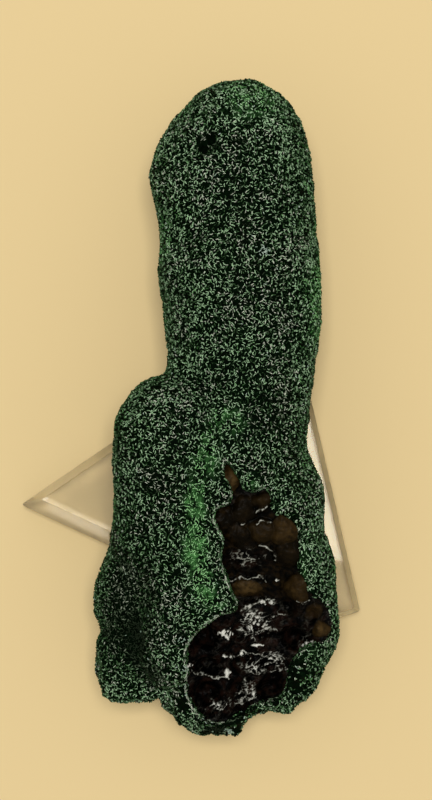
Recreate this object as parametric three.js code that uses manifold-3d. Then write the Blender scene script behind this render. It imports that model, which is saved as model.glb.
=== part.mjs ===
// A stalactitic malachite specimen lying on a clear three-cornered display base.
// Millimetres, +Z up. The origin is on the base's underside, at its middle. +X is to the right and +Y
// points along the stone towards its rounded tip, as seen from above.

import * as THREE from "three";
import { LoftGeometry } from "three/addons/geometries/LoftGeometry.js";
import { ImprovedNoise } from "three/addons/math/ImprovedNoise.js";
import { mergeVertices } from "three/addons/utils/BufferGeometryUtils.js";
import Module from "manifold-3d";

const wasm = await Module();
wasm.setup();

// Driving dimensions

const STAND_HEIGHT = 8;
const STAND_BEVEL_RISE = 2.2;
const STAND_CORNER_ROUND = 0.8;
const STAND_CORNER_STEPS = 3;
const CLEARANCE = 0.35;
const REST_HEIGHT = STAND_HEIGHT + CLEARANCE;

// The base's corners in plan, each with the width of the bevel on the side that follows it: left point,
// the chipped corner's two ends, and the point under the column.
const STAND_CORNERS = [
  { at: [-47, -4.3], bevel: 3.2 },
  { at: [16, -33.4], bevel: 1.2 },
  { at: [31, -28.8], bevel: 1.3 },
  { at: [15.4, 38.4], bevel: 1.7 },
];

// A round bar that tapers from one centre and radius to another.
function bar(from, to, radii) {
  return { line: new THREE.Line3(new THREE.Vector3(...from), new THREE.Vector3(...to)), radii };
}

// The stone grew as four masses. Each is a set of bars blended together, with a straight line inside it
// that its skin is laid around, and the number of faces around that line, along it and over each end.
const COLUMN = {
  spine: { low: 14, high: 72, x: 2.6, z: 26.4 },
  faces: { around: 36, along: 19, cap: 6 },
  bars: [
    bar([3, 76, 26], [1.3, 69, 26.4], [14.1, 17.1]),
    bar([1.3, 69, 26.4], [3, 53, 26.6], [17.3, 16.7]),
    bar([2.9, 47, 26.6], [3.5, 42.4, 26.6], [17.5, 17.2]),
    bar([4.2, 36, 26.6], [4.8, 14, 26.4], [16.3, 13]),
    bar([-0.6, 34, 26.6], [-1.2, 22, 26.6], [11.4, 12.2]),
  ],
};
const SHOULDER = {
  spine: { low: -22, high: 9, x: -13.5, z: 28.5 },
  faces: { around: 30, along: 10, cap: 6 },
  bars: [
    bar([-11, 11.8, 30.6], [-11.8, -10, 29.8], [13.5, 12.4]),
    bar([-14.4, -9, 27], [-20.9, -24.4, 25], [9.4, 8.5]),
  ],
};
const FOOT = {
  spine: { low: -40.4, high: -36, x: -20.4, z: 23.6 },
  faces: { around: 20, along: 3, cap: 4 },
  bars: [
    bar([-22.5, -35, 25], [-22.4, -40.6, 22.6], [6.3, 6.3]),
    bar([-18.8, -36, 25.4], [-17.8, -40.8, 22.4], [6.4, 6.2]),
  ],
};
const BROKEN_END = {
  spine: { low: -40, high: 8, x: 2, z: 25 },
  faces: { around: 38, along: 18, cap: 6 },
  bars: [
    bar([0, 10, 23], [-4, -26, 22.6], [15.4, 15]),
    bar([-2, -20, 23], [-2.6, -43, 20.4], [14.2, 11.6]),
    bar([3, 2, 28.5], [4, -30, 26], [14, 13.5]),
    bar([-9, -6, 35], [-11, -36, 31], [9, 7.6]),
    bar([6, 9, 25.6], [9.2, -1, 25.6], [10.5, 11.6]),
    bar([9.6, -4, 25.6], [10, -11, 25.4], [11.8, 11.2]),
    bar([12.2, -18, 25], [12.6, -30, 24.4], [11.8, 12.2]),
    bar([12.4, -34, 22.4], [12.2, -41.6, 21], [10.4, 7.8]),
  ],
};
const BAR_BLEND = 2.4;
const LUMP_HEIGHT = 0.6;
const LUMP_SIZE = 5.5;

// Small knobs along the broken end's lower edge, each by its centre and radius.
const EDGE_KNOBS = [
  [21.2, -35.6, 26, 2.1], [20.4, -39.4, 24.5, 2.2], [17.2, -43.4, 24, 2.1], [13.4, -48, 22.5, 2.2],
  [1.8, -52.6, 22, 2.2], [-4.6, -52.4, 23, 2.1], [-12, -46.8, 22, 2.6],
];

// A dimple near the column's tip: its place in plan and its half sizes.
const PIT = { at: [-3.8, 73.9], half: [1.2, 2.2, 1.6] };

// The hollow's broken rim in plan, clockwise from the slot at its top.
const HOLLOW_RIM = [
  [-0.5, 7.4], [1.9, 4.9], [3.6, 1.2], [5.9, 0.2], [7.6, 1.5], [9.3, 0.6], [9.5, -3.7],
  [12.1, -5], [14.8, -6.9], [15.2, -10.7], [15.5, -13.5], [15.2, -15.8], [17.2, -19.9],
  [18.2, -22.2], [20.8, -24], [22.9, -28.6], [21.4, -32], [17.4, -33.8], [14.8, -36.8],
  [14.2, -40], [13.2, -43.4], [11.8, -45.6], [9.2, -46.6], [6.2, -47.4], [3.8, -49.2],
  [1.4, -50.6], [-2.4, -51], [-5.8, -49.6], [-8.2, -46.4], [-9, -42.6], [-8.6, -39.6],
  [-9.2, -36.1], [-8.4, -32.3], [-4.8, -28.4], [-1.8, -26.1], [2.1, -25.2], [1.9, -23.3],
  [0.6, -20.8], [-0.1, -18.6], [-1.6, -14.3], [-0.7, -10.3], [-3.1, -5.4], [-2, -2.6],
  [0.6, -2.2], [1, 0.6], [-0.9, 4.9],
];
const RIM_STEPS = 80;
const RIM_HEIGHT = 80;

// The bowl that the hollow is scooped out to, shallow under the slot and deep at the broken end, and the
// open air above the crust that lines it.
const BOWL = bar([5, 1, 48], [5.5, -42, 40], [13, 23]);
const AIR = bar([5, 1, 51.2], [5.5, -42, 47.5], [13, 23]);
const BOWL_SPINE = { low: -42, high: 1, x: 4.5, z: 44 };
const BOWL_FACES = { around: 28, along: 8, cap: 5 };

// Knobs of the crust in the upper hollow: plan centre and radius.
const KNOBS = [
  [1, 2.4, 2], [7.4, -1.4, 2.7], [3.2, -3.6, 2.4], [0, -6.4, 2.7], [10.6, -5.8, 2.6], [5.4, -8.4, 3],
  [10.4, -10.6, 2.8], [1.6, -11.6, 2.6], [6.8, -13.4, 2.6], [13, -13, 2.3], [15.2, -21.4, 2.2],
];
const KNOB_RISE = 0.2;

// The open cells of its lower end: plan centre and half sizes.
const CELLS = [
  { at: [1.9, -17.2], half: [3.8, 2.4, 4] },
  { at: [10.4, -17.2], half: [3.2, 2.3, 3.4] },
  { at: [5, -22.4], half: [4.2, 1.8, 4] },
  { at: [12.6, -25.4], half: [2.6, 1.9, 3.4] },
  { at: [18.2, -26.6], half: [1.9, 2.1, 3] },
  { at: [-4.6, -31.6], half: [4.4, 4, 6] },
  { at: [3.2, -31.2], half: [2.8, 3, 5] },
  { at: [8.7, -30.2], half: [2.2, 3.1, 4.6] },
  { at: [14.6, -32.4], half: [3.2, 3.4, 5] },
  { at: [-3.8, -38.4], half: [4.3, 2.1, 5] },
  { at: [3.4, -38], half: [2.6, 3, 5.4] },
  { at: [10.2, -38.8], half: [3.6, 3.2, 5.4] },
  { at: [-4.4, -45.6], half: [4, 4, 6] },
  { at: [2.8, -46], half: [2.6, 3.8, 5.4] },
  { at: [9.4, -44], half: [3, 2.4, 5] },
];
const CELL_RISE = 0.25;
const ROUND_DETAIL = 1;

// How far out a surface is looked for, and how closely it is found.
const REACH = 60;
const FINENESS = 0.001;

// Finishes of the three pieces.
const MALACHITE = { color: 0x1f3a26, roughness: 0.85, metalness: 0 };
const GOETHITE = { color: 0x2b2014, roughness: 0.5, metalness: 0 };
const CLEAR_PLASTIC = { color: 0xe9e4d4, roughness: 0.05, metalness: 0, transparent: true, opacity: 0.3 };

const noise = new ImprovedNoise();
const nearest = new THREE.Vector3();

// Distance from a point to a bar's surface, negative inside.
function barDistance({ line, radii }, point) {
  const share = line.closestPointToPointParameter(point, true);
  const radius = THREE.MathUtils.lerp(radii[0], radii[1], share);
  return line.at(share, nearest).distanceTo(point) - radius;
}

// The smaller of two distances, with a fillet where they are nearly equal.
function smoothMin(a, b, width) {
  const overlap = Math.max(width - Math.abs(a - b), 0) / width;
  return Math.min(a, b) - (overlap * overlap * width) / 4;
}

// Distance to a mass's skin: its bars grown together, gently lumpy, and flat where it rests on the base.
function massDistance(bars, point) {
  const body = bars.map((each) => barDistance(each, point)).reduce((a, b) => smoothMin(a, b, BAR_BLEND));
  const lump = noise.noise(point.x / LUMP_SIZE, point.y / LUMP_SIZE, point.z / LUMP_SIZE);
  return Math.max(body - LUMP_HEIGHT * lump, REST_HEIGHT - point.z);
}

// How far along a way from inside the distance comes to zero, by halving.
function crossing(distance, foot, way) {
  let inside = 0;
  let outside = REACH;
  while (outside - inside > FINENESS) {
    const middle = (inside + outside) / 2;
    const there = foot.clone().addScaledVector(way, middle);
    if (distance(there) < 0) inside = middle;
    else outside = middle;
  }
  return inside;
}

// A closed skin laid around a straight spine, out to where the given distance is zero.
function wrap(distance, spine, faces) {
  const length = spine.high - spine.low;
  const centre = new THREE.Vector3(spine.x, (spine.low + spine.high) / 2, spine.z);
  const skin = new THREE.CapsuleGeometry(1, length, faces.cap, faces.around, faces.along);
  const places = skin.attributes.position;
  for (let i = 0; i < places.count; i++) {
    const place = new THREE.Vector3().fromBufferAttribute(places, i);
    const foot = new THREE.Vector3(0, THREE.MathUtils.clamp(place.y, -length / 2, length / 2), 0);
    const way = place.clone().sub(foot).normalize();
    foot.add(centre);
    const surface = foot.addScaledVector(way, crossing(distance, foot, way));
    places.setXYZ(i, surface.x, surface.y, surface.z);
  }
  return skin;
}

// A closed geometry as a solid that can be joined and cut.
function solidOf(geometry) {
  const bare = new THREE.BufferGeometry();
  bare.setAttribute("position", geometry.attributes.position);
  bare.setIndex(geometry.index);
  const merged = mergeVertices(bare);
  return new wasm.Manifold(
    new wasm.Mesh({
      numProp: 3,
      vertProperties: merged.attributes.position.array,
      triVerts: new Uint32Array(merged.index.array),
    }),
  );
}

function geometryOf(solid) {
  const { vertProperties, triVerts } = solid.getMesh();
  const geometry = new THREE.BufferGeometry();
  geometry.setAttribute("position", new THREE.BufferAttribute(vertProperties, 3));
  geometry.setIndex(new THREE.BufferAttribute(triVerts, 1));
  geometry.computeVertexNormals();
  return geometry;
}

function piece(name, solid, finish) {
  const mesh = new THREE.Mesh(geometryOf(solid), new THREE.MeshStandardMaterial(finish));
  mesh.name = name;
  return mesh;
}

function joined(solids) {
  return solids.reduce((a, b) => a.add(b));
}

function massSolid({ bars, spine, faces }) {
  return solidOf(wrap((point) => massDistance(bars, point), spine, faces));
}

// A faceted ball or egg shape with the given half sizes.
function roundSolid(centre, half) {
  const ball = new THREE.IcosahedronGeometry(1, ROUND_DETAIL);
  return solidOf(ball.scale(...half).translate(...centre));
}

function edgeKnobSolid([x, y, z, radius]) {
  return roundSolid([x, y, z], [radius, radius, radius]);
}

function pitSolid({ at: [x, y], half }) {
  const inside = new THREE.Vector3(x, y, COLUMN.spine.z);
  const up = new THREE.Vector3(0, 0, 1);
  const rise = crossing((point) => massDistance(COLUMN.bars, point), inside, up);
  return roundSolid([x, y, inside.z + rise], half);
}

// The hollow's rim as an upright prism through the stone, drawn in by a margin.
function rimPrism(margin) {
  const corners = HOLLOW_RIM.map(([x, y]) => new THREE.Vector3(x, y, 0));
  const curve = new THREE.CatmullRomCurve3(corners, true, "centripetal");
  const shape = new THREE.Shape();
  for (let i = 0; i < RIM_STEPS; i++) {
    const along = curve.getTangentAt(i / RIM_STEPS);
    const inward = new THREE.Vector3(along.y, -along.x, 0);
    const point = curve.getPointAt(i / RIM_STEPS).addScaledVector(inward, margin);
    if (i === 0) shape.moveTo(point.x, point.y);
    else shape.lineTo(point.x, point.y);
  }
  return solidOf(new THREE.ExtrudeGeometry(shape, { depth: RIM_HEIGHT, bevelEnabled: false }));
}

function bowlSolid(bowl, rise) {
  const skin = wrap((point) => barDistance(bowl, point), BOWL_SPINE, BOWL_FACES);
  return solidOf(skin.translate(0, 0, rise));
}

// The height of the crust's mean surface at a place in plan.
function crustHeight(x, y) {
  const above = new THREE.Vector3(x, y, AIR.line.start.z);
  const down = new THREE.Vector3(0, 0, -1);
  return above.z - crossing((point) => barDistance(AIR, point), above, down);
}

function knobSolid([x, y, radius]) {
  return roundSolid([x, y, crustHeight(x, y) + KNOB_RISE * radius], [radius, radius, radius]);
}

function cellSolid({ at: [x, y], half }) {
  return roundSolid([x, y, crustHeight(x, y) + CELL_RISE * half[2]], half);
}

// The base's outline at a height, each side drawn in by a share of its bevel, with each corner rounded
// by a short curve.
function standOutline(share, height) {
  const corners = STAND_CORNERS.map(({ at }) => new THREE.Vector2(...at));
  const neighbour = (list, i, step) => list[(i + step + list.length) % list.length];
  const drawnIn = corners.map((corner, i) => {
    const before = neighbour(corners, i, -1).clone().sub(corner).normalize();
    const after = neighbour(corners, i, 1).clone().sub(corner).normalize();
    const scale = share / Math.sin(before.angleTo(after));
    const drawn = corner.clone().addScaledVector(before, scale * STAND_CORNERS[i].bevel);
    return drawn.addScaledVector(after, scale * neighbour(STAND_CORNERS, i, -1).bevel);
  });
  return drawnIn.flatMap((corner, i) => {
    const before = neighbour(drawnIn, i, -1);
    const after = neighbour(drawnIn, i, 1);
    const start = corner.clone().lerp(before, STAND_CORNER_ROUND / corner.distanceTo(before));
    const end = corner.clone().lerp(after, STAND_CORNER_ROUND / corner.distanceTo(after));
    const round = new THREE.QuadraticBezierCurve(start, corner, end);
    return round.getPoints(STAND_CORNER_STEPS).map((p) => new THREE.Vector3(p.x, p.y, height));
  });
}

// The bevelled base: straight sides, then a bevel up to its flat top.
function standSolid() {
  const sections = [
    standOutline(0, 0),
    standOutline(0, STAND_HEIGHT - STAND_BEVEL_RISE),
    standOutline(1, STAND_HEIGHT),
  ];
  return solidOf(new LoftGeometry(sections, { capStart: true, capEnd: true }));
}

const masses = joined([COLUMN, SHOULDER, FOOT, BROKEN_END].map(massSolid));
const envelope = masses.add(joined(EDGE_KNOBS.map(edgeKnobSolid)));
const hollow = rimPrism(0).intersect(bowlSolid(BOWL, 0));
const stone = envelope.subtract(hollow).subtract(pitSolid(PIT));

const lining = envelope.intersect(rimPrism(CLEARANCE)).intersect(bowlSolid(BOWL, CLEARANCE));
const air = bowlSolid(AIR, 0).subtract(joined(KNOBS.map(knobSolid))).add(joined(CELLS.map(cellSolid)));
const crust = lining.subtract(air);

const specimen = new THREE.Group();
specimen.add(piece("malachite", stone, MALACHITE));
specimen.add(piece("hollow_crust", crust, GOETHITE));
specimen.add(piece("stand", standSolid(), CLEAR_PLASTIC));

export default specimen;
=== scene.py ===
import bmesh
import bpy
import numpy as np
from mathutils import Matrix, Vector, kdtree, noise
from mathutils.bvhtree import BVHTree


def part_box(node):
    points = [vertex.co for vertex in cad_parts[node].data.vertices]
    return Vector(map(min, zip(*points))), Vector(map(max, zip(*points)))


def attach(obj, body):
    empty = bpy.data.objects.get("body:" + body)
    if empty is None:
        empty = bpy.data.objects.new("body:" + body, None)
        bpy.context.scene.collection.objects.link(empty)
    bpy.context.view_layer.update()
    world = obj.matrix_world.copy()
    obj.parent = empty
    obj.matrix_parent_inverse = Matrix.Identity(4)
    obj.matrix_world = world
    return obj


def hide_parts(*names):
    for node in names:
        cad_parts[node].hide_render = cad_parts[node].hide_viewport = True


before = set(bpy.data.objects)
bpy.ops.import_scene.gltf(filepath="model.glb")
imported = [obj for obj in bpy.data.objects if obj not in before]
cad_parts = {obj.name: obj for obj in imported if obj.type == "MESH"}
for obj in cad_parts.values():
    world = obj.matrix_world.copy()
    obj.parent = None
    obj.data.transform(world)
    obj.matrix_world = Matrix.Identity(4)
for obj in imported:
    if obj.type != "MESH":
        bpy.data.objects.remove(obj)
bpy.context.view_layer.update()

MM = 0.001
SEED = 20
rng = np.random.default_rng(SEED)

# The view: straight down, with the scale of a pixel at the stone's middle height
IMAGE_HEIGHT = 800
PIXEL = 0.22 * MM
VIEW_HEIGHT = 460 * MM
VIEW_CENTRE = (-2.2 * MM, 19.8 * MM)
STONE_MIDDLE = 26 * MM
SENSOR = 36.0

# Mesh sizes
STONE_VOXEL = 0.54 * MM
CRUST_STEP = 0.16 * MM
PLAN_STEP = 0.3 * MM

# Rays that look for the surface start above everything
SKY = 200 * MM
DOWN = Vector((0, 0, -1))

# Least values, which keep divisions sound
LEAST_AREA = 1e-12
LEAST_SLOPE = 1e-9
LEAST_REACH = 1e-9
LEAST_SHARE = 1e-6

# The standard curve between a screen's colours and linear light
SCREEN_WHITE = 255
CURVE_KNEE = 0.04045
CURVE_SLOPE = 12.92
CURVE_OFFSET = 0.055
CURVE_POWER = 2.4

# Smooth noise: how each octave differs from the one before, and offsets that make one noise into three
OCTAVES = 3
OCTAVE_FALL = 1.0
OCTAVE_STEP = 2.0
NOISE_OFFSETS = (0 * MM, 37 * MM, 71 * MM)


def smoothstep(low, high, values):
    """0 at low, 1 at high and a smooth change between."""
    share = np.clip((values - low) / (high - low), 0, 1)
    return share * share * (3 - 2 * share)


def linear(red, green, blue):
    """A screen colour, from 0 to 255, as the linear colour that shaders take."""
    screen = np.array([red, green, blue]) / SCREEN_WHITE
    curved = ((screen + CURVE_OFFSET) / (1 + CURVE_OFFSET)) ** CURVE_POWER
    return tuple(np.where(screen <= CURVE_KNEE, screen / CURVE_SLOPE, curved)) + (1.0,)


def fractal(places, size, octaves=OCTAVES):
    """Smooth noise at each place, about -1 to 1, with features of the given size."""
    return np.array([
        noise.fractal(Vector(place), OCTAVE_FALL, OCTAVE_STEP, octaves) for place in places / size
    ])


def warped(places, size, reach):
    """Places moved about by smooth noise."""
    return places + reach * np.stack([fractal(places + offset, size) for offset in NOISE_OFFSETS], 1)


# Meshes


def mesh_arrays(mesh):
    """A mesh's places and the vertices of each face, where all faces have as many corners."""
    places = np.empty(3 * len(mesh.vertices))
    mesh.vertices.foreach_get("co", places)
    return places.reshape(-1, 3), corner_vertices(mesh).reshape(len(mesh.polygons), -1)


def corner_vertices(mesh):
    """The vertex at each corner of each face."""
    corners = np.empty(len(mesh.loops), np.int32)
    mesh.loops.foreach_get("vertex_index", corners)
    return corners


def remeshed(node, voxel):
    """A node's form in even quads of about the given size."""
    source = add_object("source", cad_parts[node].data.copy())
    remesh = source.modifiers.new("remesh", "REMESH")
    remesh.mode = "VOXEL"
    remesh.voxel_size = voxel
    depsgraph = bpy.context.evaluated_depsgraph_get()
    mesh = bpy.data.meshes.new_from_object(source.evaluated_get(depsgraph))
    places, quads = mesh_arrays(mesh)
    bpy.data.meshes.remove(mesh)
    bpy.data.objects.remove(source)
    return places, quads


def summed(corners, values, count):
    """The sum, at each vertex, of the values of the faces or edges that meet there."""
    total = np.zeros((count, 3))
    for corner in corners.T:
        for axis in range(3):
            total[:, axis] += np.bincount(corner, values[:, axis], count)
    return total


def normals_of(places, quads):
    a, b, c, d = (places[corner] for corner in quads.T)
    total = summed(quads, np.cross(c - a, d - b), len(places))
    return total / np.maximum(np.linalg.norm(total, axis=1, keepdims=True), LEAST_AREA)


def edges_of(quads):
    """The two vertices at each side of each quad, in the order that they go round it."""
    return np.concatenate([quads[:, [i, (i + 1) % 4]] for i in range(4)])


def smoothed(places, quads, weights, rounds):
    """Each vertex drawn towards its neighbours' mean, as far as its weight says, a number of times."""
    edges = edges_of(quads)
    degree = np.bincount(edges[:, 0], minlength=len(places))[:, None]
    for _ in range(rounds):
        mean = summed(edges[:, :1], places[edges[:, 1]], len(places)) / degree
        places = places + weights[:, None] * (mean - places)
    return places


def add_object(name, data):
    made = bpy.data.objects.new(name, data)
    bpy.context.scene.collection.objects.link(made)
    return made


def new_piece(name, places, faces, material, slot, node=None, smooth=True, **values):
    """A mesh piece that rides on the body, with named values at its vertices."""
    mesh = bpy.data.meshes.new(name)
    mesh.from_pydata(places, [], faces)
    if smooth:
        mesh.shade_smooth()
    for key, data in values.items():
        attribute = mesh.attributes.new(key, "FLOAT", "POINT")
        attribute.data.foreach_set("value", np.ascontiguousarray(data, np.float32))
    mesh.materials.append(material)
    piece = add_object(name, mesh)
    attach(piece, "root")
    if node:
        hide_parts(node)
    return piece


# The hollow in plan

RIM_MARGIN = 4 * PLAN_STEP
RIM_SOFTENING = 6


def tree_of(node):
    places, corners = mesh_arrays(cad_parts[node].data)
    return BVHTree.FromPolygons(places.tolist(), corners.tolist())


crust_tree = tree_of("hollow_crust")


def crust_below(x, y):
    """The place of the crust under a point in plan, or nothing where there is none."""
    return crust_tree.ray_cast(Vector((x, y, SKY)), DOWN)[0]


def over_crust(x, y):
    return crust_below(x, y) is not None


def crust_height(x, y):
    hit = crust_below(x, y)
    return hit.z if hit else np.nan


def plan_lines(margin, step):
    """The x and the y of a grid in plan over the crust and a margin around it."""
    low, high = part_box("hollow_crust")
    xs = np.arange(low.x - margin, high.x + margin, step)
    ys = np.arange(low.y - margin, high.y + margin, step)
    return xs, ys


def neighbours(grid):
    """The grid moved by one cell to each of its four sides."""
    return [np.roll(grid, step, axis) for step in (-1, 1) for axis in (0, 1)]


def softened(grid, rounds):
    """A grid of values with each cell drawn towards its four neighbours, a number of times."""
    for _ in range(rounds):
        around = neighbours(grid)
        grid = (grid + sum(around)) / (1 + len(around))
    return grid


def rim_points():
    """Points along the crust's edge, as seen from above, and the way out of the hollow at each."""
    xs, ys = plan_lines(RIM_MARGIN, PLAN_STEP)
    inside = np.array([[over_crust(x, y) for x in xs] for y in ys])
    rows, columns = np.nonzero(inside & ~np.logical_and.reduce(neighbours(inside)))
    down, right = np.gradient(softened(inside.astype(float), RIM_SOFTENING))
    out = -np.stack([right[rows, columns], down[rows, columns]], 1)
    return np.stack([xs[columns], ys[rows]], 1), out / np.linalg.norm(out, axis=1, keepdims=True)


rim_line, rim_out = rim_points()


def plan_distance(places, points):
    """How far each place is from the nearest of the points in plan."""
    tree = kdtree.KDTree(len(points))
    for i, (x, y) in enumerate(points):
        tree.insert((x, y, 0), i)
    tree.balance()
    return np.array([tree.find((x, y, 0))[2] for x, y in places[:, :2]])


def rim_distance(places):
    """How far each place is from the hollow's rim in plan, negative over the hollow."""
    away = plan_distance(places, rim_line)
    over = np.array([over_crust(x, y) for x, y in places[:, :2]])
    return np.where(over, -away, away)


# Ovals in plan, each with a centre and half sizes in millimetres, that fade in from their edge

OVAL_FADE = (1, 0.3)
UPPER_SIDE = 15 * MM


def oval(places, centre, half):
    """1 at the middle of an oval in plan, and 0 outside it."""
    offset = (places[:, :2] / MM - centre) / half
    return smoothstep(*OVAL_FADE, np.linalg.norm(offset, axis=1))


def most(places, ovals):
    """How near the middle of any of the ovals each place is, from 0 to 1."""
    return np.max([oval(places, centre, half) for centre, half in ovals], axis=0)


def patch(places, centre, half):
    """1 at the middle of an oval in plan on the upper side, and 0 outside it."""
    return oval(places, centre, half) * (places[:, 2] > UPPER_SIDE)


# The stone

# Only what faces up more than this and lies above this height can be near the hollow's rim
UNDERSIDE = -0.3
HOLLOW_FLOOR = 17 * MM
FAR_FROM_RIM = 1.0

# It is smoothed outside the rim, least at its rough broken end, then a little all over, and then
# made lumpy: the size and the height of each kind of lump, and how much higher they are at that end
RIM_WIDTH = 0.8 * MM
ROUGH_END = (-32 * MM, -40 * MM)
SMOOTHING = 0.5
ROUGH_SPARED = 0.4
SMOOTH_ROUNDS = 26
LAST_SMOOTHING = 0.4
LAST_ROUNDS = 4
LUMPS = ((4.2 * MM, 0.34 * MM), (1.7 * MM, 0.16 * MM))
ROUGH_LUMPS = 1.8

# The ragged pit near its tip
PITS = (((-3.1, 75.2), (1.5, 2.0)), ((-4.7, 73.0), (1.3, 1.8)))
PIT_RAGGED = 0.4
PIT_RAGGED_SIZE = 1.2 * MM
PIT_DEPTH = 1.6 * MM


def pitted(places):
    """How deep in the pit each place is, from 0 to about 1."""
    ragged = 1 + PIT_RAGGED * fractal(places, PIT_RAGGED_SIZE)
    return most(places, PITS) * ragged * (places[:, 2] > UPPER_SIDE)


def stone_form():
    """The stone's surface, and at each vertex its normal and its distance from the hollow's rim."""
    places, quads = remeshed("malachite", STONE_VOXEL)
    upper = (normals_of(places, quads)[:, 2] > UNDERSIDE) & (places[:, 2] > HOLLOW_FLOOR)
    from_rim = np.where(upper, rim_distance(places), FAR_FROM_RIM)
    rough = smoothstep(*ROUGH_END, places[:, 1])
    weights = np.where(from_rim > RIM_WIDTH, SMOOTHING - ROUGH_SPARED * rough, 0.0)
    places = smoothed(places, quads, weights, SMOOTH_ROUNDS)
    places = smoothed(places, quads, np.full(len(places), LAST_SMOOTHING), LAST_ROUNDS)
    normals = normals_of(places, quads)
    for size, height in LUMPS:
        rise = height * (1 + ROUGH_LUMPS * rough) * fractal(places, size)
        places = places + normals * rise[:, None]
    places = places - normals * (PIT_DEPTH * pitted(places))[:, None]
    return places, quads, normals_of(places, quads), from_rim


# Grains, each a little roof on four corners

GRAIN_FACES = np.array([
    [0, 1, 5], [0, 5, 4], [2, 3, 4], [2, 4, 5], [3, 0, 4], [1, 2, 5], [0, 3, 2], [0, 2, 1],
])
GRAIN_RISE = np.array([0, 0, 0, 0, 1, 1])
GRAIN_SINK = 0.12 * MM
GRAIN_TILT = 0.5
RIDGE_SHARE = 0.6
PALETTE_MARGIN = 0.02
PALETTE_WIDTH = 1 - 2 * PALETTE_MARGIN


def between(limits, count):
    return rng.uniform(*limits, count)[:, None]


def grain_mesh(spots, normals, way, length, width, height):
    """A grain along the way at each spot: vertices, faces and rises."""
    count = len(spots)
    way = way / np.linalg.norm(way, axis=1, keepdims=True)
    across = np.cross(normals, way)
    along = way * between(length, count) / 2
    side = across * between(width, count) / 2
    base = spots - normals * GRAIN_SINK
    top = spots + normals * between(height, count)
    tilt = side * rng.uniform(-GRAIN_TILT, GRAIN_TILT, (count, 1))
    ends = along * RIDGE_SHARE
    places = np.stack([
        base + along + side, base - along + side, base - along - side, base + along - side,
        top + ends + tilt, top - ends + tilt,
    ], 1)
    faces = GRAIN_FACES[None] + len(GRAIN_RISE) * np.arange(count)[:, None, None]
    return places.reshape(-1, 3), faces.reshape(-1, 3), np.tile(GRAIN_RISE, count)


def palette_map(mesh, tone, rise):
    """A texture map by tone and rise, so that few pixels hold every grain's colours."""
    corners = corner_vertices(mesh)
    # Odd and even corners lie a little apart, so that each face has some area in the map
    spread = PALETTE_MARGIN * (corners % 2 - 0.5)
    u = tone[corners] * PALETTE_WIDTH + PALETTE_MARGIN + spread
    v = rise[corners] * PALETTE_WIDTH + PALETTE_MARGIN
    flat = np.stack([u, v], 1).astype(np.float32).ravel()
    mesh.uv_layers.new(name="OFBake").data.foreach_set("uv", flat)


def grain_piece(name, grains, tones, material, slot):
    places, faces, rise = grains
    tone = np.repeat(tones, len(GRAIN_RISE))
    piece = new_piece(name, places, faces, material, slot, tone=tone, rise=rise)
    palette_map(piece.data, tone, rise)


# The stone's velvety skin of grains

DRUSE_PIECES = 3
GRAIN_SPACING = 0.45 * MM
GRAIN_TRIES = 4
GRAIN_LENGTH = (0.45 * MM, 0.9 * MM)
GRAIN_WIDTH = (0.21 * MM, 0.33 * MM)
GRAIN_HEIGHT = (0.22 * MM, 0.46 * MM)
RIM_CLEAR = 0.1 * MM
PIT_CLEAR = 0.5

# Its grains lie along the level lines of smooth noise, in winding ridges with gaps between
CURL_SIZE = 0.88 * MM
CURL_STEP = 0.05 * MM
CURL_CHANCE = 0.012
CURL_OCTAVES = 2
RIDGE_STEP = 1.0
RIDGE_GAP = -0.5
RIDGE_GATHER = 0.75
GATHER_REACH = 0.25 * MM

# Bands of the grains' palette, each from dark to bright, and how green a sage and a green grain has to be
GREY_BAND = (0.02, 0.28)
SAGE_BAND = (0.34, 0.56)
GREEN_BAND = (0.62, 0.82)
PALE_BAND = (0.88, 0.98)
SAGE_START = 0.15
GREEN_START = 0.76

# How bright a grain is, and how green: at first, by its ridge or slope, by slow drift and by chance.
# Grains on steep sides are painted darker: painted shade where the surface turns from the light above.
LIGHT_FIRST = 0.22
LIGHT_RIDGE = 0.82
LIGHT_SLOPE_PAINTED_SHADE = -0.45
LIGHT_DRIFT = 0.12
LIGHT_DRIFT_SIZE = 7 * MM
LIGHT_CHANCE = 0.09
GREEN_FIRST = 0.3
GREEN_SLOPE = 0.3
GREEN_DRIFT = 0.35
GREEN_DRIFT_SIZE = 8 * MM
GREEN_CHANCE = 0.16
GREEN_LIGHT = 0.5

# Patches of the skin in plan, millimetres, and how much greener or darker the grains are there
GREEN_PATCHES = (
    ((-4.6, 7.5), (4.2, 8), 0.4),
    ((-6.8, -2.5), (3.4, 7), 0.8),
    ((-6.5, -11.5), (3.6, 8), 1.0),
    ((-5, -19.5), (3.8, 6), 0.75),
    ((-2.2, -23.6), (3, 2.6), 0.45),
    ((0.5, 15.6), (5.5, 4.5), 0.4),
    ((5, 84), (8, 6), 0.45),
    ((5.5, 2.8), (2, 2.6), 0.5),
    ((20, 40), (4, 16), 0.3),
    ((18, -14.5), (4, 8), 0.15),
    ((19.5, -38.2), (6, 7), 0.12),
)
DARK_PATCHES = (
    ((-21, -28), (11, 18), 0.36),
    ((-20, -12), (8, 12), 0.2),
    ((-19.6, -32), (3, 8), 0.6),
    ((-22.4, -31.2), (6, 1.7), 0.4),
    ((-15.6, -40), (4, 6), 0.3),
    ((8, 18), (9, 9), 0.18),
    ((-16.7, 2.3), (7, 4.5), 0.2),
    ((-3.6, 74), (3.4, 4.6), 0.3),
    ((-6, 24), (8, 3), 0.2),
    ((-2.4, -52.8), (3.6, 1.6), 1.0),
    ((-1.5, -50.5), (5, 3), 0.3),
)

# Where most grains are pale, and the share of pale grains elsewhere
PALE_SPECKS = (
    ((7.6, 51.4), (2.4, 1.5)),
    ((-9.3, -31.6), (1.7, 0.9)),
    ((-8.6, -37.6), (2.6, 1.0)),
    ((0.8, -53.0), (1.6, 1.3)),
)
PALE_SHARE = 0.006

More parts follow.
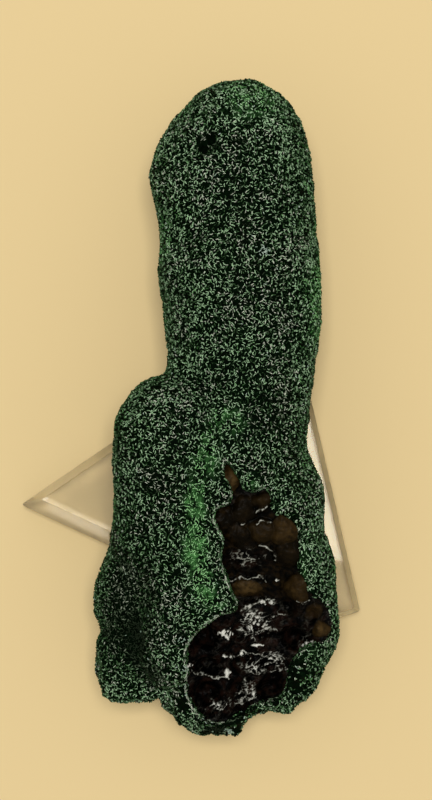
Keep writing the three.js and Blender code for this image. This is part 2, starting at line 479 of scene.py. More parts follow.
# Where the skin around the lower hollow is frayed, with grains broken away where noise is low
FRAYED = (
    ((15.4, -40), (5.6, 8.5)),
    ((3.5, -50.5), (9, 4)),
    ((-8.6, -44), (3, 7)),
)
FRAYED_SIZE = 1.25 * MM
FRAYED_FIRST = 0.55
FRAYED_NOISE = 1.4
FRAYED_LIMIT = 0.35
FRAYED_PALE = 0.07


def scattered(places, quads, normals, keep, spacing):
    """Places on the kept faces, no more than one to a cube of the given size, with their normals."""
    faces = quads[keep[quads].all(1)]
    triangles = np.concatenate([faces[:, [0, 1, 2]], faces[:, [0, 2, 3]]])
    a, b, c = (places[corner] for corner in triangles.T)
    areas = np.linalg.norm(np.cross(b - a, c - a), axis=1) / 2
    tries = int(areas.sum() / spacing**2 * GRAIN_TRIES)
    chosen = rng.choice(len(triangles), tries, p=areas / areas.sum())
    u, v = rng.random((2, tries, 1))
    u, v = np.where(u + v > 1, 1 - u, u), np.where(u + v > 1, 1 - v, v)
    spots = a[chosen] * (1 - u - v) + b[chosen] * u + c[chosen] * v
    cells = np.floor(spots / spacing).astype(np.int64)
    _, first = np.unique(cells, axis=0, return_index=True)
    first.sort()
    facing = normals[triangles[chosen][first]].mean(1)
    return spots[first], facing / np.linalg.norm(facing, axis=1, keepdims=True)


def curling(spots, facing):
    """Spots gathered to the winding ridges, the ridges' way, and how near a crest, from -1 to 1."""
    here = fractal(spots, CURL_SIZE, CURL_OCTAVES)
    steps = CURL_STEP * np.eye(3)
    slope = np.stack([fractal(spots + step, CURL_SIZE, CURL_OCTAVES) - here for step in steps], 1)
    level = slope - facing * (slope * facing).sum(1, keepdims=True)
    steepness = np.maximum((level * level).sum(1, keepdims=True), LEAST_SLOPE)
    rise = np.round(here / RIDGE_STEP) * RIDGE_STEP - here
    to_crest = rise[:, None] * level / steepness * CURL_STEP
    reach = np.maximum(np.linalg.norm(to_crest, axis=1, keepdims=True), LEAST_REACH)
    gathered = spots + RIDGE_GATHER * to_crest * np.minimum(1, GATHER_REACH / reach)
    slope = slope + rng.normal(0, CURL_CHANCE, slope.shape)
    return gathered, np.cross(facing, slope), np.cos(2 * np.pi * here / RIDGE_STEP)


def banded(band, light):
    return band[0] + (band[1] - band[0]) * np.clip(light, 0, 1)


def grain_tones(spots, facing, crest):
    """Each grain's place in the palette: grey, sage, vivid green or pale, and how bright."""
    count = len(spots)
    slope = 1 - facing[:, 2]
    # Grains on steep sides are darker: painted shade.
    light = LIGHT_FIRST + LIGHT_RIDGE * crest + LIGHT_SLOPE_PAINTED_SHADE * slope
    light += LIGHT_DRIFT * fractal(spots, LIGHT_DRIFT_SIZE) + rng.normal(0, LIGHT_CHANCE, count)
    green = GREEN_FIRST + GREEN_SLOPE * slope
    green += GREEN_DRIFT * fractal(spots, GREEN_DRIFT_SIZE) + rng.normal(0, GREEN_CHANCE, count)
    for centre, half, strength in GREEN_PATCHES:
        change = strength * patch(spots, centre, half)
        green += change
        light += GREEN_LIGHT * change
    for centre, half, strength in DARK_PATCHES:
        change = strength * patch(spots, centre, half)
        green -= change
        light -= change
    pale = rng.random(count) < PALE_SHARE + FRAYED_PALE * most(spots, FRAYED)
    for centre, half in PALE_SPECKS:
        pale |= rng.random(count) < patch(spots, centre, half)
    tone = np.where(green < SAGE_START, banded(GREY_BAND, light), banded(SAGE_BAND, light))
    tone = np.where(green > GREEN_START, banded(GREEN_BAND, light), tone)
    return np.where(pale, banded(PALE_BAND, light), tone)


def broken_away(spots):
    """Whether the skin is broken away at each spot."""
    share = FRAYED_FIRST - FRAYED_NOISE * fractal(spots, FRAYED_SIZE)
    return (most(spots, FRAYED) * share > FRAYED_LIMIT) & (spots[:, 2] > UPPER_SIDE)


def druse(form, material):
    """The grains all over the stone outside the hollow, in pieces from its broken end to its tip."""
    places, quads, normals, from_rim = form
    keep = (from_rim > RIM_CLEAR) & (pitted(places) < PIT_CLEAR)
    spots, facing = scattered(places, quads, normals, keep, GRAIN_SPACING)
    spots, way, crest = curling(spots, facing)
    kept = (crest > RIDGE_GAP) & ~broken_away(spots)
    spots, facing, way, crest = (values[kept] for values in (spots, facing, way, crest))
    tones = grain_tones(spots, facing, crest)
    order = np.argsort(spots[:, 1])
    for number, part in enumerate(np.array_split(order, DRUSE_PIECES), 1):
        grains = grain_mesh(spots[part], facing[part], way[part], GRAIN_LENGTH, GRAIN_WIDTH, GRAIN_HEIGHT)
        grain_piece(f"druse_{number}", grains, tones[part], material, "malachite")


# Splinters of the thin broken shell along the rim, most of them on its left side

CHIP_LENGTH = (0.6 * MM, 1.6 * MM)
CHIP_WIDTH = (0.12 * MM, 0.22 * MM)
CHIP_HEIGHT = (0.1 * MM, 0.35 * MM)
CHIP_OUT = 0.42 * MM
CHIP_SPREAD = 0.1 * MM
CHIP_LAYERS = 2
CHIP_TURN = 0.3

# The long crisp edge between the two hollows, in plan, millimetres
CRISP_EDGE = ((-3.5, -29.5), (8.5, 7.5))

# How likely a splinter is and how bright: at first, by its side, by drift and at the crisp edge
CHIP_FIRST = 0.5
CHIP_SIDE = -0.35
CHIP_DRIFT = 0.6
CHIP_DRIFT_SIZE = 2.5 * MM
CHIP_CRISP = 0.6
CHIP_LIGHT_FIRST = 0.55
CHIP_LIGHT_SIDE = -0.2
CHIP_LIGHT_DRIFT = 0.3
CHIP_LIGHT_SIZE = 3 * MM
CHIP_LIGHT_CRISP = 0.25
CHIP_LIGHT_CHANCE = 0.15
CHIP_PALE = 0.06


def rim_spots(form):
    """Spots on the stone along the rim, with the stone's facing and the way out of the hollow."""
    places, quads, _, _ = form
    tree = BVHTree.FromPolygons(places.tolist(), quads.tolist())
    line = np.repeat(rim_line, CHIP_LAYERS, axis=0)
    out = np.repeat(rim_out, CHIP_LAYERS, axis=0)
    line = line + out * rng.normal(CHIP_OUT, CHIP_SPREAD, (len(line), 1))
    hits = [tree.ray_cast(Vector((x, y, SKY)), DOWN)[:2] for x, y in line]
    return np.array([place for place, _ in hits]), np.array([normal for _, normal in hits]), out


def broken_rim(form, material):
    spots, facing, out = rim_spots(form)
    chance = CHIP_FIRST + CHIP_SIDE * out[:, 0] + CHIP_DRIFT * fractal(spots, CHIP_DRIFT_SIZE)
    kept = rng.random(len(spots)) < chance + CHIP_CRISP * oval(spots, *CRISP_EDGE)
    spots, facing, out = spots[kept], facing[kept], out[kept]
    along = np.stack([-out[:, 1], out[:, 0], np.zeros(len(out))], 1)
    way = np.cross(facing, np.cross(along + rng.normal(0, CHIP_TURN, along.shape), facing))
    grains = grain_mesh(spots, facing, way, CHIP_LENGTH, CHIP_WIDTH, CHIP_HEIGHT)
    light = CHIP_LIGHT_FIRST + CHIP_LIGHT_SIDE * out[:, 0]
    light += CHIP_LIGHT_DRIFT * fractal(spots, CHIP_LIGHT_SIZE)
    light += CHIP_LIGHT_CRISP * oval(spots, *CRISP_EDGE)
    light += rng.normal(0, CHIP_LIGHT_CHANCE, len(spots))
    pale = rng.random(len(spots)) < CHIP_PALE
    tones = np.where(pale, banded(PALE_BAND, light), banded(GREY_BAND, light))
    grain_piece("broken_rim", grains, tones, material, "malachite")


# The crust

CRUST_GROWTH = 4
CRUST_SOFTENING = 24
LOBES_SOFTENING = 420
CRUST_THICKNESS = 0.8 * MM

# Rounded brown lobes of the hollow: plan centre and half sizes in millimetres, and how light each is.
# Each lobe is painted darker towards its edge, and the gaps between lobes are painted black: painted
# shade in the creases.
LOBES = (
    ((1.0, 3.3), (2.2, 3.8), 1.0),
    ((7.7, -1.7), (2.5, 2.6), 0.55),
    ((-1.0, -5.5), (3.2, 3.4), 0.2),
    ((3.6, -3.9), (2.7, 3.2), 0.4),
    ((7.7, -8.2), (3.1, 3.0), 0.6),
    ((12.7, -8.0), (3.6, 3.8), 0.8),
    ((3.0, -9.3), (3.0, 2.6), 0.3),
    ((13.1, -13.6), (2.8, 3.0), 0.4),
    ((4.0, -21.2), (4.0, 2.2), 1.0),
    ((15.3, -20.9), (2.8, 3.6), 0.75),
    ((18.7, -25.9), (2.1, 2.2), 0.65),
    ((15.0, -26.0), (1.6, 1.8), 0.35),
    ((20.6, -29.8), (2.4, 2.2), 0.95),
)
LOBE_RISE = 0.42
LOBE_EDGE = (0.0, 0.3)
# How much darker a lobe is painted at its edge: painted shade.
LOBE_EDGE_PAINTED_SHADE = 0.5
LOBE_WARP = 0.9 * MM
LOBE_WARP_SIZE = 3.2 * MM

# Thin pale ledges between its chambers, in plan, millimetres, paler where noise is high
LEDGES = (
    ((6.2, -4), (7.7, -3.5), (9, -3.1)),
    ((6.7, -6.6), (7.7, -6.1), (9.5, -6.6)),
    ((3, -6.8), (4, -6.3)),
    ((6.9, -11.5), (9, -11.7), (10.1, -13), (10.7, -14.8)),
    ((1.9, -14.8), (4.1, -14.1), (6.9, -14.8)),
    ((0.4, -19.5), (3, -18.9), (5.6, -19.1), (7.7, -18.4), (9, -19.7)),
    ((3, -26), (6.2, -24.5), (8.4, -23.6), (10.5, -23.4)),
    ((15, -23.4), (16.7, -24), (17.8, -23.4)),
    ((-8.4, -39.2), (-4.6, -40.5), (-1.8, -41.2), (0.9, -41.4)),
    ((8.5, -38.8), (10.7, -37.9), (12.9, -37)),
    ((5.2, -40.3), (6.8, -40.7), (7.9, -39.9)),
    ((4.4, -41.4), (5.6, -43.2), (6.1, -45.4), (4.3, -46.7), (2, -47.8)),
    ((7.9, -39.9), (10.4, -40.3), (12.8, -39.6), (15, -38.2)),
    ((-0.9, -36.2), (1.3, -36.9), (5.2, -36), (9.6, -36.9)),
    ((2.4, -30.8), (7.4, -30.8), (11.8, -30.3)),
    ((9.6, -28), (11.6, -26.8), (13.4, -26.9)),
    ((-4.6, -48.4), (-2.4, -46.6), (-0.7, -47.1)),
)
LEDGE_RISE = 0.8 * MM
LEDGE_WIDTH = 0.3 * MM
LEDGE_FOOT = 2 * LEDGE_WIDTH
LEDGE_STEP = 0.1 * MM
LEDGE_WARP = 0.6 * MM
LEDGE_WARP_SIZE = 1.6 * MM
LEDGE_PALE = 0.9
LEDGE_BREAKS = (-0.6, 0.1)

# Ragged white crumbs of its lower end: plan centre and half sizes, millimetres
CRUMBS = (
    ((-0.2, -31.3), (2.2, 2.0)),
    ((6.8, -28.7), (1.2, 2.2)),
    ((10.7, -37.4), (1.9, 1.1)),
    ((17.7, -33.7), (1.7, 1.2)),
    ((0.4, -40.3), (1.3, 1.6)),
    ((7, -34), (2.0, 0.6)),
    ((0.2, -36.4), (1.5, 0.8)),
    ((3.9, -36.1), (1.3, 1.3)),
    ((5.2, -30), (1.3, 1.2)),
    ((8.5, -24.3), (2.1, 1.0)),
    ((5.9, -45.1), (0.5, 1.6)),
    ((-2, -47), (1.5, 0.9)),
    ((11.2, -19.2), (0.7, 0.7)),
    ((-8, -38), (1.4, 0.9)),
)
CRUMB_RISE = 0.5 * MM
CRUMB_RAGGED = 0.7 * MM
CRUMB_EDGE = (0.0, 0.2)
CRUMB_BREAKS = (0.6, 0.9)
CRUMB_NOISE = 1.2

# Its black voids, with few threads: plan centre and half sizes, millimetres. The lobe colour in them is
# taken to black, as painted shade in the deep pockets.
VOIDS = (
    ((-5.2, -33), (3.8, 6)),
    ((-0.4, -27.8), (4.6, 2)),
    ((14.4, -32.2), (4, 2.8)),
    ((-4.4, -43.6), (4.4, 3.8)),
    ((2.4, -43.2), (2.4, 2.4)),
    ((10.8, -42.6), (3.6, 3.8)),
    ((2.4, -34.8), (4.6, 1.6)),
    ((3, -38), (2, 1.1)),
    ((-0.4, -14.4), (1.6, 3)),
)
VOID_DEPTH = 1.2 * MM
VOID_THREADS = 0.15

# Where its pale threads are thickest, how thick they are elsewhere, and where noise breaks them
THREADS = (
    ((6.4, -29.4), (5, 5)),
    ((7.5, -37.6), (8, 4)),
    ((4.6, -45), (3.4, 4.8)),
    ((-1.1, -46.8), (3.4, 2.2)),
    ((17.8, -33.4), (2.8, 2.6)),
    ((4.9, -14), (7, 3.2)),
    ((8.5, -24.3), (3, 2)),
)
THREADS_ELSEWHERE = 0.3
THREADS_STRENGTH = 1.7
THREAD_GAPS = (-0.5, 0.0)
THREAD_GAP_SIZE = 3 * MM
THREAD_BREAKS = (-0.7, 0.1)

# Where the crust is cellular: at its lower end and in the second chamber of the upper hollow
CELLS_START = (-22 * MM, -25 * MM)
CELLS_WANDER = 1.5 * MM
CELLS_WANDER_SIZE = 5 * MM
CHAMBER = ((4.6, -14.6), (7.2, 4.2))
CHAMBER_CELLS = 0.8
RIGHT_LOBES = 12 * MM
RIGHT_LOBES_CLEAR = 1.4

# The slanting filaments of its cells, and its roughness
CELLS_TURN = 0.45
CELLS_STRETCH = 1.9
FILAMENT_SIZE = 1.5 * MM
FILAMENT_WIDTH = 0.15
FILAMENT_OFFSETS = (0 * MM, 23 * MM)
FILAMENT_RISE = 0.3 * MM
ROUGH_SIZE = 2.6 * MM
ROUGH_HEIGHT = 0.8 * MM
RAGGED_SIZE = 0.9 * MM
RAGGED_HEIGHT = 0.14 * MM


def spread_softened(heights, known, rounds):
    """Known heights softened without the unknown ones around them."""
    share = softened(known.astype(float), rounds)
    return softened(np.where(known, heights, 0), rounds) / np.maximum(share, LEAST_SHARE)


def grown(heights):
    """Heights carried on by one cell around the known ones."""
    around = np.stack(neighbours(heights))
    count = (~np.isnan(around)).sum(0)
    mean = np.where(count > 0, np.nansum(around, 0) / np.maximum(count, 1), np.nan)
    return np.where(np.isnan(heights), mean, heights)


def crust_grid():
    """Places over the hollow in plan, and the height of the crust's solid there, softened most above."""
    xs, ys = plan_lines((CRUST_GROWTH + 1) * CRUST_STEP, CRUST_STEP)
    heights = np.array([[crust_height(x, y) for x in xs] for y in ys])
    for _ in range(CRUST_GROWTH):
        heights = grown(heights)
    known = ~np.isnan(heights)
    lower = smoothstep(*CELLS_START, ys)[:, None]
    upper_form = spread_softened(heights, known, LOBES_SOFTENING)
    lower_form = spread_softened(heights, known, CRUST_SOFTENING)
    return *np.meshgrid(xs, ys), np.where(known, upper_form + lower * (lower_form - upper_form), np.nan)


def slab(places, known):
    """A closed slab under the known places of a grid: its vertices, its faces and the places used."""
    number = np.full(known.shape, -1)
    number[known] = np.arange(known.sum())
    corners = [number[:-1, :-1], number[:-1, 1:], number[1:, 1:], number[1:, :-1]]
    top = np.stack([corner.ravel() for corner in corners], 1)
    top = top[(top >= 0).all(1)]
    used, top = np.unique(top, return_inverse=True)
    top = top.reshape(-1, 4)
    upper = places[known][used]
    lower = upper - (0, 0, CRUST_THICKNESS)
    edges = edges_of(top)
    codes = edges[:, 0] * len(used) + edges[:, 1]
    open_edges = edges[~np.isin(codes, edges[:, 1] * len(used) + edges[:, 0])]
    sides = np.concatenate([open_edges[:, ::-1], open_edges + len(used)], 1)
    faces = np.concatenate([top, top[:, ::-1] + len(used), sides])
    return np.concatenate([upper, lower]), faces, used


def ledge_distance(places):
    """How far each place is from the nearest ledge in plan."""
    points = []
    for ledge in LEDGES:
        for start, end in zip(ledge, ledge[1:]):
            start, end = np.array(start) * MM, np.array(end) * MM
            steps = int(np.linalg.norm(end - start) / LEDGE_STEP) + 1
            points.extend(start + (end - start) * i / steps for i in range(steps))
    return plan_distance(places, points)


def lobe_forms(places):
    """The height of the rounded lobes at each place, and how light they are there, each darker towards
    its edge as painted shade.
    """
    plan = warped(places, LOBE_WARP_SIZE, LOBE_WARP)[:, :2] / MM
    rise = np.zeros(len(places))
    light = np.zeros(len(places))
    for centre, half, lightness in LOBES:
        share = np.clip(1 - (((plan - centre) / half) ** 2).sum(1), 0, 1)
        rise = np.maximum(rise, LOBE_RISE * min(half) * MM * share)
        shade = 1 - LOBE_EDGE_PAINTED_SHADE * (1 - share)
        light = np.maximum(light, lightness * smoothstep(*LOBE_EDGE, share) * shade)
    return rise, light


def cell_share(spots, light):
    """How cellular the crust is, from 0 to 1."""
    wander = CELLS_WANDER * fractal(spots, CELLS_WANDER_SIZE)
    cells = smoothstep(*CELLS_START, spots[:, 1] + wander)
    cells = np.maximum(cells, CHAMBER_CELLS * oval(spots, *CHAMBER))
    return np.clip(cells - RIGHT_LOBES_CLEAR * light * (spots[:, 0] > RIGHT_LOBES), 0, 1)


def crumb_share(spots, ragged):
    """1 on the ragged crumbs, and 0 around them."""
    near = most(spots, CRUMBS)
    return smoothstep(*CRUMB_EDGE, near) * smoothstep(*CRUMB_BREAKS, near + CRUMB_NOISE * ragged)


def filaments(places):
    """1 along thin winding lines that slant across the hollow, and 0 between them."""
    along = places[:, 0] * np.cos(CELLS_TURN) + places[:, 1] * np.sin(CELLS_TURN)
    across = places[:, 1] * np.cos(CELLS_TURN) - places[:, 0] * np.sin(CELLS_TURN)
    slanted = np.stack([along / CELLS_STRETCH, across, np.zeros(len(places))], 1)
    fields = [np.abs(fractal(slanted + offset, FILAMENT_SIZE)) for offset in FILAMENT_OFFSETS]
    return smoothstep(FILAMENT_WIDTH, 0, np.min(fields, axis=0))


def thread_share(spots, cells, void):
    """1 along the pale threads of the cells, and 0 between them."""
    thick = np.clip(THREADS_STRENGTH * most(spots, THREADS), THREADS_ELSEWHERE, 1)
    thick *= smoothstep(*THREAD_GAPS, fractal(spots, THREAD_GAP_SIZE))
    return filaments(spots) * cells * thick * (1 - (1 - VOID_THREADS) * void)


def crust_form():
    """The crust's closed form, and at each vertex how cellular, how pale and how light a lobe it is."""
    xs, ys, heights = crust_grid()
    known = ~np.isnan(heights)
    places = np.stack([xs, ys, heights], 2)
    spots = places[known]
    lobes, light = lobe_forms(spots)
    cells = cell_share(spots, light)
    rough = fractal(spots, ROUGH_SIZE)
    ragged = fractal(spots, RAGGED_SIZE)
    void = most(spots, VOIDS)
    crumb = crumb_share(spots, ragged)
    line = thread_share(spots, cells, void)
    from_ledge = ledge_distance(warped(spots, LEDGE_WARP_SIZE, LEDGE_WARP))
    edge = LEDGE_PALE * smoothstep(LEDGE_WIDTH, 0, from_ledge) * smoothstep(*LEDGE_BREAKS, ragged)
    pale = np.max([line * smoothstep(*THREAD_BREAKS, ragged), edge, crumb], axis=0)
    spots[:, 2] += (1 - cells) * lobes
    spots[:, 2] += cells * (ROUGH_HEIGHT * rough + FILAMENT_RISE * line - VOID_DEPTH * void)
    spots[:, 2] += LEDGE_RISE * smoothstep(LEDGE_FOOT, 0, from_ledge)
    spots[:, 2] += crumb * (CRUMB_RISE + CRUMB_RAGGED * ragged) + RAGGED_HEIGHT * ragged
    places[known] = spots
    solid, faces, used = slab(places, known)
    # Lobe lightness falls to black in the voids: painted shade.
    values = {"cells": cells, "pale": pale, "light": light * (1 - void)}
    return solid, faces, {key: np.tile(value[used], 2) for key, value in values.items()}


# Materials: each ramp's stops have a position and a screen colour or a share

# Where a ramp's new stop is before it gets its place, and how many octaves the noise has
RAMP_MIDDLE = 0.5
NOISE_DETAIL = 4.0

# The grains by tone, in four bands from dark to bright, and near-black at their feet: painted shade
# between the grains
GRAIN_COLOURS = (
    (0.0, (2, 12, 2)),
    (0.14, (94, 113, 86)),
    (0.3, (244, 252, 230)),
    (0.32, (1, 18, 4)),
    (0.45, (78, 114, 72)),
    (0.58, (204, 244, 196)),
    (0.6, (6, 34, 7)),
    (0.72, (74, 130, 68)),
    (0.84, (180, 242, 168)),
    (0.86, (152, 184, 158)),
    (1.0, (220, 240, 224)),
)
GRAIN_FOOT_PAINTED_SHADE = (0, 8, 0)
GRAIN_RISING = ((0.4, 0), (0.9, 1))
GRAIN_ROUGHNESS = 0.5
GRAIN_SHINE = 0.03

# The stone between the grains, its vivid patches and its broken rim. Between the grains the stone's dark
# green is taken near-black: painted shade in the gaps.
SPECKLE_COLOURS = ((0.4, (0, 5, 0)), (0.6, (0, 12, 1)), (0.78, (8, 24, 9)))
SPECKLE_SIZE = 0.9 * MM
VELVET_COLOURS = ((0.35, (14, 44, 13)), (0.7, (92, 156, 86)))
VELVET_SIZE = 0.9 * MM
RIM_COLOURS = ((0.35, (6, 12, 6)), (0.7, (70, 84, 68)))
RIM_SIZE = 1.4 * MM
STONE_BUMP = 0.2 * MM
STONE_BUMP_SIZE = 0.5 * MM
STONE_ROUGHNESS = 0.75
STONE_SHINE = 0.03

# The crust's streaky lobes, its dark cells and its pale edges. The cells' colour runs down to black: the
# goethite's own brown-black, taken darker as painted shade in their pockets.
# The lobes' ramp starts at black: painted shade at lobe edges and between lobes.
LOBE_COLOURS = ((0.0, (1, 1, 0)), (0.35, (14, 9, 2)), (0.75, (52, 38, 16)), (1.0, (74, 57, 30)))
STREAK_COLOURS = ((0.4, (1, 1, 0)), (0.7, (34, 24, 9)))
STREAK_COLOUR_SIZE = 2.2 * MM
STREAKS = ((0.36, 0), (0.66, 0.8))
STREAK_SIZE = 1.1 * MM
# Cells from black to reddish brown: partly the goethite's colour, partly painted shade in the pockets.
CELL_COLOURS = ((0.48, (1, 1, 1)), (0.8, (38, 22, 15)))
CELL_SIZE = 2.4 * MM
PALE_COLOURS = ((0.2, (54, 50, 42)), (0.6, (146, 148, 136)), (1.0, (226, 226, 216)))
CRUST_BUMP = 0.15 * MM
CRUST_BUMP_SIZE = 0.7 * MM
CRUST_BUMP_STRENGTH = 0.6
CRUST_ROUGHNESS = 0.45
CRUST_SHINE = 0.04

# The clear stand's two finishes: name, colour and roughness. The sawn faces are rough, and their grey
# tint is painted shade for the darker bands of the bevels.
ACRYLIC_IOR = 1.49
POLISHED = ("clear_acrylic", (0.99, 0.985, 0.965, 1), 0.02)
SAWN_WITH_PAINTED_SHADE = ("sawn_acrylic_painted_shade", (0.84, 0.82, 0.77, 1), 0.28)

FLOOR_COLOUR = (235, 210, 157)
FLOOR_ROUGHNESS = 0.9
FLOOR_SHINE = 0.1


def shader_of(name, roughness, shine=None):
    """A new material, its nodes and its shader."""
    material = bpy.data.materials.new(name)
    material.use_nodes = True
    shader = material.node_tree.nodes["Principled BSDF"]
    shader.inputs["Roughness"].default_value = roughness
    if shine is not None:
        shader.inputs["Specular IOR Level"].default_value = shine
    return material, material.node_tree, shader


def value_node(tree, key):
    """A value that the mesh holds at its vertices."""
    node = tree.nodes.new("ShaderNodeAttribute")
    node.attribute_name = key
    return node.outputs["Fac"]


def ramp_node(tree, source, stops):
    node = tree.nodes.new("ShaderNodeValToRGB")
    elements = node.color_ramp.elements
    while len(elements) < len(stops):
        elements.new(RAMP_MIDDLE)
    for element, (position, colour) in zip(elements, stops):
        element.position = position
        element.color = colour
    tree.links.new(source, node.inputs["Fac"])
    return node.outputs["Color"]


def colour_ramp(tree, source, stops):
    return ramp_node(tree, source, [(position, linear(*screen)) for position, screen in stops])


def share_ramp(tree, source, stops):
    return ramp_node(tree, source, [(position, (share, share, share, 1)) for position, share in stops])


def noise_node(tree, size):
    place = tree.nodes.new("ShaderNodeTexCoord").outputs["Object"]
    node = tree.nodes.new("ShaderNodeTexNoise")
    node.inputs["Scale"].default_value = 1 / size
    node.inputs["Detail"].default_value = NOISE_DETAIL
    tree.links.new(place, node.inputs["Vector"])
    return node.outputs["Fac"]


def socket_of(sockets, identifier):
    return next(socket for socket in sockets if socket.identifier == identifier)


def mix_node(tree, share, first, second):
    """The first colour, a plain one or another node's, mixed with the second by a share."""
    node = tree.nodes.new("ShaderNodeMix")
    node.data_type = "RGBA"
    tree.links.new(share, socket_of(node.inputs, "Factor_Float"))
    tree.links.new(second, socket_of(node.inputs, "B_Color"))
    if isinstance(first, tuple):
        socket_of(node.inputs, "A_Color").default_value = first
    else:
        tree.links.new(first, socket_of(node.inputs, "A_Color"))
    return socket_of(node.outputs, "Result_Color")


def bump_node(tree, shader, height, distance, strength=1.0):
    node = tree.nodes.new("ShaderNodeBump")
    node.inputs["Distance"].default_value = distance
    node.inputs["Strength"].default_value = strength
    tree.links.new(height, node.inputs["Height"])
    tree.links.new(node.outputs["Normal"], shader.inputs["Normal"])


def druse_material():
    material, tree, shader = shader_of("malachite_druse", GRAIN_ROUGHNESS, GRAIN_SHINE)
    crest = colour_ramp(tree, value_node(tree, "tone"), GRAIN_COLOURS)
    share = share_ramp(tree, value_node(tree, "rise"), GRAIN_RISING)
    # Each grain fades to near-black at its foot: painted shade between grains.
    colour = mix_node(tree, share, linear(*GRAIN_FOOT_PAINTED_SHADE), crest)
    tree.links.new(colour, shader.inputs["Base Color"])
    return material


def stone_material():
    material, tree, shader = shader_of("malachite_base", STONE_ROUGHNESS, STONE_SHINE)
    # The near-black speckle between the grains is painted shade over the stone's dark green.
    speckle = colour_ramp(tree, noise_node(tree, SPECKLE_SIZE), SPECKLE_COLOURS)
    broken = colour_ramp(tree, noise_node(tree, RIM_SIZE), RIM_COLOURS)
    velvet = colour_ramp(tree, noise_node(tree, VELVET_SIZE), VELVET_COLOURS)
    colour = mix_node(tree, value_node(tree, "velvet"), speckle, velvet)
    colour = mix_node(tree, value_node(tree, "rim"), colour, broken)
    tree.links.new(colour, shader.inputs["Base Color"])
    bump_node(tree, shader, noise_node(tree, STONE_BUMP_SIZE), STONE_BUMP)
    return material


def crust_material():
    material, tree, shader = shader_of("goethite_crust", CRUST_ROUGHNESS, CRUST_SHINE)
    lobes = colour_ramp(tree, value_node(tree, "light"), LOBE_COLOURS)
    streaks = colour_ramp(tree, noise_node(tree, STREAK_COLOUR_SIZE), STREAK_COLOURS)
    cells = colour_ramp(tree, noise_node(tree, CELL_SIZE), CELL_COLOURS)
    edges = colour_ramp(tree, value_node(tree, "pale"), PALE_COLOURS)
    streaky = share_ramp(tree, noise_node(tree, STREAK_SIZE), STREAKS)
    colour = mix_node(tree, streaky, lobes, streaks)
    colour = mix_node(tree, value_node(tree, "cells"), colour, cells)
    colour = mix_node(tree, value_node(tree, "pale"), colour, edges)
    tree.links.new(colour, shader.inputs["Base Color"])
    bump_node(tree, shader, noise_node(tree, CRUST_BUMP_SIZE), CRUST_BUMP, CRUST_BUMP_STRENGTH)
    return material


def clear_material(name, colour, roughness):
    material, _, shader = shader_of(name, roughness)
    shader.inputs["Base Color"].default_value = colour
    shader.inputs["Transmission Weight"].default_value = 1.0
    shader.inputs["IOR"].default_value = ACRYLIC_IOR
    return material


def floor_material():
    material, _, shader = shader_of("pale_floor", FLOOR_ROUGHNESS, FLOOR_SHINE)
    shader.inputs["Base Color"].default_value = linear(*FLOOR_COLOUR)
    return material


# Stage, light and camera

FLOOR_HALF = 2.0
FLOOR_HEIGHT = -0.1 * MM
FLOOR_CORNERS = ((-1, -1), (1, -1), (1, 1), (-1, 1))

# Each lamp's place and two sizes in metres, its power and its colour: one lamp over the camera, and
# a weak one that is seen in the stand's top
LIGHTS = (
    ("key", Vector((-0.002, 0.09, 0.78)), (0.2, 0.16), 3.1, (1.0, 0.98, 0.94)),
    ("strip", Vector((0.075, -0.005, 0.78)), (0.15, 0.05), 0.15, (1.0, 0.92, 0.72)),
)
WORLD_COLOUR = (1.0, 0.99, 0.97, 1)
WORLD_LIGHT = 0.48


def make_camera():
    lens = bpy.data.cameras.new("camera")
    lens.sensor_fit = "VERTICAL"
    lens.sensor_height = SENSOR
    lens.lens = SENSOR * (VIEW_HEIGHT - STONE_MIDDLE) / (PIXEL * IMAGE_HEIGHT)
    camera = add_object("camera", lens)
    camera.location = (*VIEW_CENTRE, VIEW_HEIGHT)
    bpy.context.scene.camera = camera


def make_floor():
    mesh = bpy.data.meshes.new("floor")
    corners = [(x * FLOOR_HALF, y * FLOOR_HALF, FLOOR_HEIGHT) for x, y in FLOOR_CORNERS]
    mesh.from_pydata(corners, [], [(0, 1, 2, 3)])
    mesh.materials.append(floor_material())
    add_object("floor", mesh)


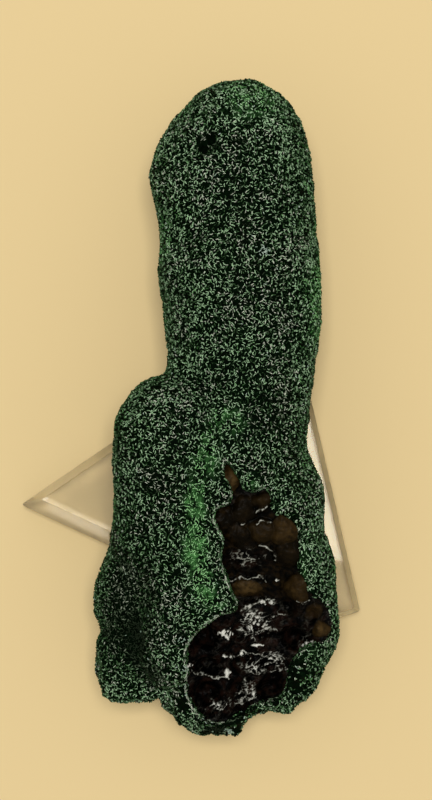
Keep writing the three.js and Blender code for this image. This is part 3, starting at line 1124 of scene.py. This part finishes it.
def make_light():
    for name, place, (width, depth), power, colour in LIGHTS:
        area = bpy.data.lights.new(name, "AREA")
        area.shape = "RECTANGLE"
        area.size = width
        area.size_y = depth
        area.energy = power
        area.color = colour
        lamp = add_object(name, area)
        lamp.location = place
        lamp.rotation_euler = (-place).to_track_quat("-Z", "Y").to_euler()
    world = bpy.data.worlds.new("world")
    world.use_nodes = True
    background = world.node_tree.nodes["Background"]
    background.inputs["Color"].default_value = WORLD_COLOUR
    background.inputs["Strength"].default_value = WORLD_LIGHT
    bpy.context.scene.world = world
    bpy.context.scene.view_settings.view_transform = "Standard"


# The object

# Where the stone's own colour shows: the width of its pale rim, and the breaks in its vivid patches
RIM_PALE = 0.5 * MM
VELVET_BREAKS = (-0.25, 0.4)
VELVET_BREAK_SIZE = 2.2 * MM

# The stand's triangles are joined to flat faces, and its level ones are polished
WELD = 0.001 * MM
FLAT_ANGLE = 0.02
LEVEL = 0.98


def make_stone():
    form = stone_form()
    places, quads, _, from_rim = form
    rim = smoothstep(RIM_PALE, 0, np.abs(from_rim))
    velvet = sum(strength * patch(places, centre, half) for centre, half, strength in GREEN_PATCHES)
    velvet *= smoothstep(*VELVET_BREAKS, fractal(places, VELVET_BREAK_SIZE)) * (1 - most(places, FRAYED))
    values = {"rim": rim, "velvet": np.clip(velvet, 0, 1)}
    new_piece("malachite_stone", places, quads, stone_material(), "malachite", node="malachite", **values)
    grains = druse_material()
    druse(form, grains)
    broken_rim(form, grains)


def make_crust():
    solid, faces, values = crust_form()
    material = crust_material()
    new_piece("goethite_lining", solid, faces, material, "hollow_crust", node="hollow_crust", **values)


def make_stand():
    """The clear stand with crisp flat faces: a polished top and underside, and sawn sides and bevels,
    tinted grey as painted shade.
    """
    shape = bmesh.new()
    shape.from_mesh(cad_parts["stand"].data)
    bmesh.ops.remove_doubles(shape, verts=shape.verts, dist=WELD)
    bmesh.ops.dissolve_limit(shape, angle_limit=FLAT_ANGLE, verts=shape.verts, edges=shape.edges)
    shape.verts.index_update()
    places = [vertex.co[:] for vertex in shape.verts]
    faces = [[vertex.index for vertex in face.verts] for face in shape.faces]
    shape.free()
    material = clear_material(*POLISHED)
    stand = new_piece("clear_stand", places, faces, material, "stand", node="stand", smooth=False)
    # The sawn faces' grey tint is painted shade.
    stand.data.materials.append(clear_material(*SAWN_WITH_PAINTED_SHADE))
    for face in stand.data.polygons:
        face.material_index = int(abs(face.normal.z) < LEVEL)


make_camera()
make_floor()
make_light()
make_stone()
make_crust()
make_stand()
